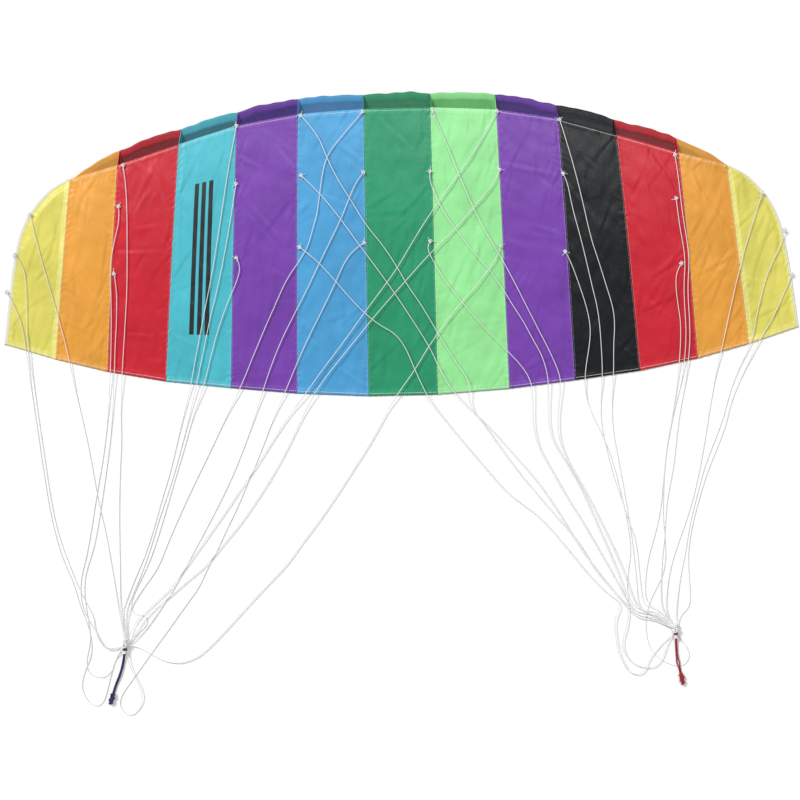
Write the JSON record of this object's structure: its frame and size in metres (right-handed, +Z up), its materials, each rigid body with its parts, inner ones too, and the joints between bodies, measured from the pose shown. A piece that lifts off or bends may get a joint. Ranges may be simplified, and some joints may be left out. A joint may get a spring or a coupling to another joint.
{
  "type": "parafoil kite",
  "caption": "Soft parafoil kite laid flat, with coloured ram-air cells, open leading-edge inlets, inner ribs, and two bridles gathered to tow knots with leaders.",
  "frame": {"origin": "under the middle of the canopy, on the surface that the kite lies on", "axes": "+X along the span, +Y from the trailing edge to the leading edge, +Z up"},
  "size_m": [1.581, 1.2336, 0.0418],
  "materials": {
    "yellow_cloth": "coated ripstop polyester, soft sheen",
    "orange_cloth": "coated ripstop polyester, soft sheen",
    "red_cloth": "coated ripstop polyester, soft sheen",
    "turquoise_cloth": "coated ripstop polyester, soft sheen",
    "purple_cloth": "coated ripstop polyester, soft sheen",
    "blue_cloth": "coated ripstop polyester, soft sheen",
    "dark_green_cloth": "coated ripstop polyester, soft sheen",
    "light_green_cloth": "coated ripstop polyester, soft sheen",
    "black_cloth": "coated ripstop polyester, soft sheen",
    "bridle_line": "braided polyester line",
    "navy_leader": "braided polyester cord",
    "red_leader": "braided polyester cord"
  },
  "bodies": {
    "root": {"lower_skin_cell_02": "orange_cloth", "lower_skin_cell_03": "red_cloth", "lower_skin_cell_04": "turquoise_cloth", "lower_skin_cell_05": "purple_cloth", "lower_skin_cell_06": "blue_cloth", "lower_skin_cell_07": "dark_green_cloth", "lower_skin_cell_08": "light_green_cloth", "lower_skin_cell_09": "purple_cloth", "lower_skin_cell_10": "black_cloth", "lower_skin_cell_11": "red_cloth", "lower_skin_cell_12": "orange_cloth", "upper_skin_cell_02": "orange_cloth", "upper_skin_cell_03": "red_cloth", "upper_skin_cell_04": "turquoise_cloth", "upper_skin_cell_05": "purple_cloth", "upper_skin_cell_06": "blue_cloth", "upper_skin_cell_07": "dark_green_cloth", "upper_skin_cell_08": "light_green_cloth", "upper_skin_cell_09": "purple_cloth", "upper_skin_cell_10": "black_cloth", "upper_skin_cell_11": "red_cloth", "upper_skin_cell_12": "orange_cloth", "rib_01": "orange_cloth", "rib_02": "red_cloth", "rib_03": "turquoise_cloth", "rib_04": "purple_cloth", "rib_05": "blue_cloth", "rib_06": "dark_green_cloth", "rib_07": "dark_green_cloth", "rib_08": "light_green_cloth", "rib_09": "purple_cloth", "rib_10": "black_cloth", "rib_11": "red_cloth", "rib_12": "orange_cloth", "bridle_lines_seam_00": "bridle_line", "bridle_lines_seam_02": "bridle_line", "bridle_lines_seam_04": "bridle_line", "bridle_lines_seam_06": "bridle_line", "bridle_lines_seam_08": "bridle_line", "bridle_lines_seam_05": "bridle_line", "bridle_lines_seam_07": "bridle_line", "bridle_lines_seam_09": "bridle_line", "bridle_lines_seam_11": "bridle_line", "bridle_lines_seam_13": "bridle_line", "left_bridle_line_knots": "bridle_line", "right_bridle_line_knots": "bridle_line", "left_tow_knot": "bridle_line", "right_tow_knot": "bridle_line"},
    "left_tip": {"lower_skin_cell_01": "yellow_cloth", "upper_skin_cell_01": "yellow_cloth", "left_tip_line_knots": "bridle_line"},
    "right_tip": {"lower_skin_cell_13": "yellow_cloth", "upper_skin_cell_13": "yellow_cloth", "right_tip_line_knots": "bridle_line"},
    "left_leader_cord": {"left_leader": "navy_leader", "left_leader_end_knot": "navy_leader"},
    "right_leader_cord": {"right_leader": "red_leader", "right_leader_end_knot": "red_leader"}
  },
  "joints": [
    {"name": "left_tip_fold", "type": "hinge", "parent": "root", "child": "left_tip", "pos_m": [-0.6745, -0.036, 0.00875], "axis": [0.1028, 0.9947, 0], "range_deg": [0, 80], "deforming": ["bridle_lines_seam_00"]},
    {"name": "right_tip_fold", "type": "hinge", "parent": "root", "child": "right_tip", "pos_m": [0.6745, -0.036, 0.00875], "axis": [0.1028, -0.9947, 0], "range_deg": [0, 80], "deforming": ["bridle_lines_seam_13"]},
    {"name": "left_leader_lift", "type": "hinge", "parent": "root", "child": "left_leader_cord", "pos_m": [-0.567, -0.789, 0.007], "axis": [-0.9584, 0.2855, 0], "range_deg": [0, 80]},
    {"name": "right_leader_lift", "type": "hinge", "parent": "root", "child": "right_leader_cord", "pos_m": [0.533, -0.783, 0.007], "axis": [-0.9933, -0.1155, 0], "range_deg": [0, 80]}
  ]
}
